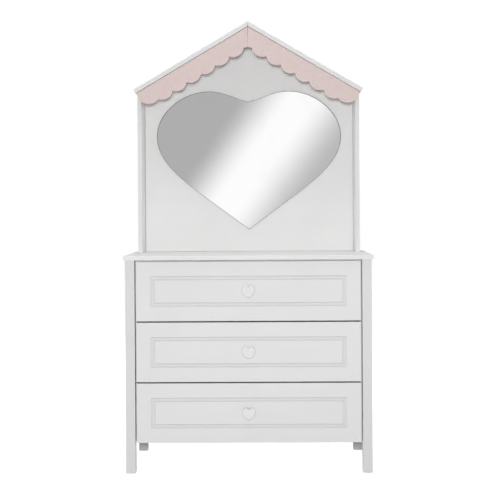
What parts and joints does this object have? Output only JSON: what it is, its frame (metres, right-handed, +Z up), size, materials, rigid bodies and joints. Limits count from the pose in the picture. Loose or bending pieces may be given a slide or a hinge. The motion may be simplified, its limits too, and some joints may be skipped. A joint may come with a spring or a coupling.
{
  "type": "dresser with mirror",
  "caption": "White lacquered dresser on square legs with sliding drawers, heart-shaped knobs and a house-shaped mirror unit with a scalloped fascia.",
  "frame": {"origin": "centre of the overall box, on the floor", "axes": "+X to the right seen from the front, +Y to the back, +Z up"},
  "size_m": [0.94, 0.484, 1.7409],
  "materials": {
    "white_lacquer": "satin lacquered board",
    "white_melamine": "matt melamine faced board",
    "pink_lacquer": "satin lacquered board",
    "knob_lacquer": "satin white",
    "mirror_glass": "silvered glass, polished edge",
    "zinc_steel": "bright zinc plate",
    "glide_plastic": "moulded"
  },
  "bodies": {
    "carcass": {"top_panel": "white_lacquer", "leg_front_left": "white_lacquer", "leg_front_right": "white_lacquer", "leg_rear_left": "white_lacquer", "leg_rear_right": "white_lacquer", "side_panel_left": "white_lacquer", "side_panel_right": "white_lacquer", "mirror_back_board": "white_lacquer", "upright_left": "white_lacquer", "upright_right": "white_lacquer", "roof_board_left": "white_lacquer", "roof_board_right": "white_lacquer", "bottom_panel": "white_melamine", "back_panel": "white_melamine", "front_rail": "white_melamine", "foot_glide_front_left": "glide_plastic", "foot_glide_front_right": "glide_plastic", "foot_glide_rear_left": "glide_plastic", "foot_glide_rear_right": "glide_plastic", "scalloped_fascia_left": "pink_lacquer", "scalloped_fascia_right": "pink_lacquer", "heart_mirror": "mirror_glass", "cam_lock_left_front": "zinc_steel", "cam_lock_left_rear": "zinc_steel", "cam_lock_right_front": "zinc_steel", "cam_lock_right_rear": "zinc_steel", "runner_rail_bottom_left": "zinc_steel", "runner_rail_bottom_right": "zinc_steel", "runner_rail_middle_left": "zinc_steel", "runner_rail_middle_right": "zinc_steel", "runner_rail_top_left": "zinc_steel", "runner_rail_top_right": "zinc_steel"},
    "drawer_bottom": {"drawer_bottom_front": "white_lacquer", "drawer_bottom_side_left": "white_melamine", "drawer_bottom_side_right": "white_melamine", "drawer_bottom_back": "white_melamine", "drawer_bottom_base": "white_melamine", "drawer_bottom_slide_left": "zinc_steel", "drawer_bottom_slide_right": "zinc_steel", "drawer_bottom_knob": "knob_lacquer", "drawer_bottom_knob_screw": "zinc_steel"},
    "drawer_middle": {"drawer_middle_front": "white_lacquer", "drawer_middle_side_left": "white_melamine", "drawer_middle_side_right": "white_melamine", "drawer_middle_back": "white_melamine", "drawer_middle_base": "white_melamine", "drawer_middle_slide_left": "zinc_steel", "drawer_middle_slide_right": "zinc_steel", "drawer_middle_knob": "knob_lacquer", "drawer_middle_knob_screw": "zinc_steel"},
    "drawer_top": {"drawer_top_front": "white_lacquer", "drawer_top_side_left": "white_melamine", "drawer_top_side_right": "white_melamine", "drawer_top_back": "white_melamine", "drawer_top_base": "white_melamine", "drawer_top_slide_left": "zinc_steel", "drawer_top_slide_right": "zinc_steel", "drawer_top_knob": "knob_lacquer", "drawer_top_knob_screw": "zinc_steel"}
  },
  "joints": [
    {"name": "drawer_bottom_slide", "type": "slide", "parent": "carcass", "child": "drawer_bottom", "axis": [0, -1, 0], "range_m": [0, 0.3]},
    {"name": "drawer_middle_slide", "type": "slide", "parent": "carcass", "child": "drawer_middle", "axis": [0, -1, 0], "range_m": [0, 0.3]},
    {"name": "drawer_top_slide", "type": "slide", "parent": "carcass", "child": "drawer_top", "axis": [0, -1, 0], "range_m": [0, 0.3]}
  ]
}
